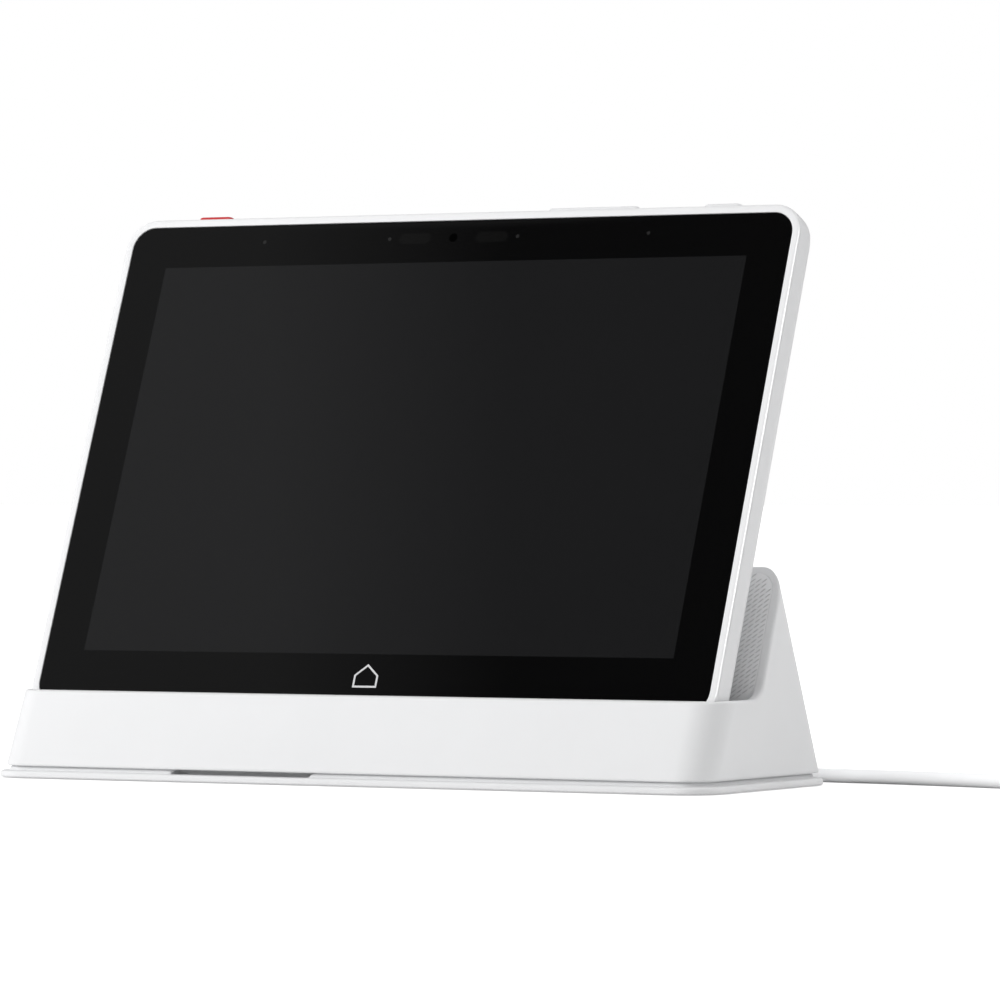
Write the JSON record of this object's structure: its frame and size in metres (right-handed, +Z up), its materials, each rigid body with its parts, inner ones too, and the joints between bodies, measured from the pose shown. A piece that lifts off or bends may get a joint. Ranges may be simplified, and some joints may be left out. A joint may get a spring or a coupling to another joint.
{
  "type": "smart home hub",
  "caption": "Touch display standing in a wedge-shaped charging dock, with top-edge keys, a lift-off cradle and a power cable.",
  "frame": {"origin": "centre of the dock's footprint, on the table the rubber foot stands on", "axes": "+X to the display's right as its user sees it, +Y towards the back of the dock, +Z up; the display leans back by 21.5 degrees"},
  "size_m": [0.3335, 0.0993, 0.1467],
  "materials": {
    "frame_plastic": "satin white moulding",
    "dock_plastic": "fine matte white moulding",
    "key_plastic": "satin white",
    "alarm_plastic": "satin red",
    "cover_glass": "polished, black behind",
    "screen": "dark screen",
    "mark_ink": "printed line",
    "liner": "perforated light grey",
    "rubber": "matte grey",
    "steel": "plain",
    "gold_contact": "polished plating",
    "circuit_board": "green mask",
    "black_plastic": "matte black",
    "battery_wrap": "wrapped cell",
    "cable_jacket": "soft white jacket"
  },
  "bodies": {
    "dock": {"dock_shell": "dock_plastic", "base_plate": "dock_plastic", "foot_pad": "rubber", "backrest_panel": "liner", "ballast_left": "steel", "ballast_right": "steel", "dock_board": "circuit_board", "usb_socket": "steel", "base_screw_1": "steel", "base_screw_2": "steel", "base_screw_3": "steel", "base_screw_4": "steel", "pogo_block": "black_plastic"},
    "pins": {"pogo_pin_1": "gold_contact", "pogo_pin_2": "gold_contact", "pogo_pin_3": "gold_contact", "pogo_pin_4": "gold_contact"},
    "tablet": {"front_frame": "frame_plastic", "rear_cover": "frame_plastic", "cover_glass": "cover_glass", "front_mark": "mark_ink", "display_panel": "screen", "chassis": "steel", "camera": "black_plastic", "sensor_left": "black_plastic", "sensor_right": "black_plastic", "status_light_left": "mark_ink", "status_light_right": "mark_ink", "microphone_left": "black_plastic", "microphone_right": "black_plastic", "shield_left": "steel", "shield_right": "steel", "speaker_left": "black_plastic", "speaker_right": "black_plastic", "main_board": "circuit_board", "battery": "battery_wrap", "board_screw_1": "steel", "board_screw_2": "steel", "board_screw_3": "steel", "board_screw_4": "steel", "rear_screw_1": "steel", "rear_screw_2": "steel", "rear_screw_3": "steel", "rear_screw_4": "steel", "switch_board_left": "circuit_board", "switch_board_right": "circuit_board", "contact_carrier": "black_plastic", "charge_pad_1": "gold_contact", "charge_pad_2": "gold_contact", "charge_pad_3": "gold_contact", "charge_pad_4": "gold_contact"},
    "alarm_key": {"alarm_button": "alarm_plastic"},
    "volume_key": {"volume_rocker": "key_plastic"},
    "power_key": {"power_button": "key_plastic"},
    "cable": {"plug_shell": "steel", "plug_body": "cable_jacket", "power_cable": "cable_jacket", "far_plug_body": "cable_jacket", "far_plug_shell": "steel"}
  },
  "joints": [
    {"name": "tablet_lift", "type": "slide", "parent": "dock", "child": "tablet", "axis": [0, 0.3665, 0.9304], "range_m": [0, 0.09]},
    {"name": "alarm_press", "type": "slide", "parent": "tablet", "child": "alarm_key", "axis": [0, -0.3665, -0.9304], "range_m": [0, 0.0006]},
    {"name": "volume_rock", "type": "hinge", "parent": "tablet", "child": "volume_key", "pos_m": [0.038, 0.02978, 0.14245], "axis": [0, 0.9304, -0.3665], "range_deg": [-1.2, 1.2]},
    {"name": "power_press", "type": "slide", "parent": "tablet", "child": "power_key", "axis": [0, -0.3665, -0.9304], "range_m": [0, 0.0006]},
    {"name": "pin_travel", "type": "slide", "parent": "dock", "child": "pins", "axis": [0, 0.3665, 0.9304], "range_m": [-0.001, 0]},
    {"name": "cable_unplug", "type": "slide", "parent": "dock", "child": "cable", "axis": [0, 1, 0], "range_m": [0, 0.012]}
  ]
}
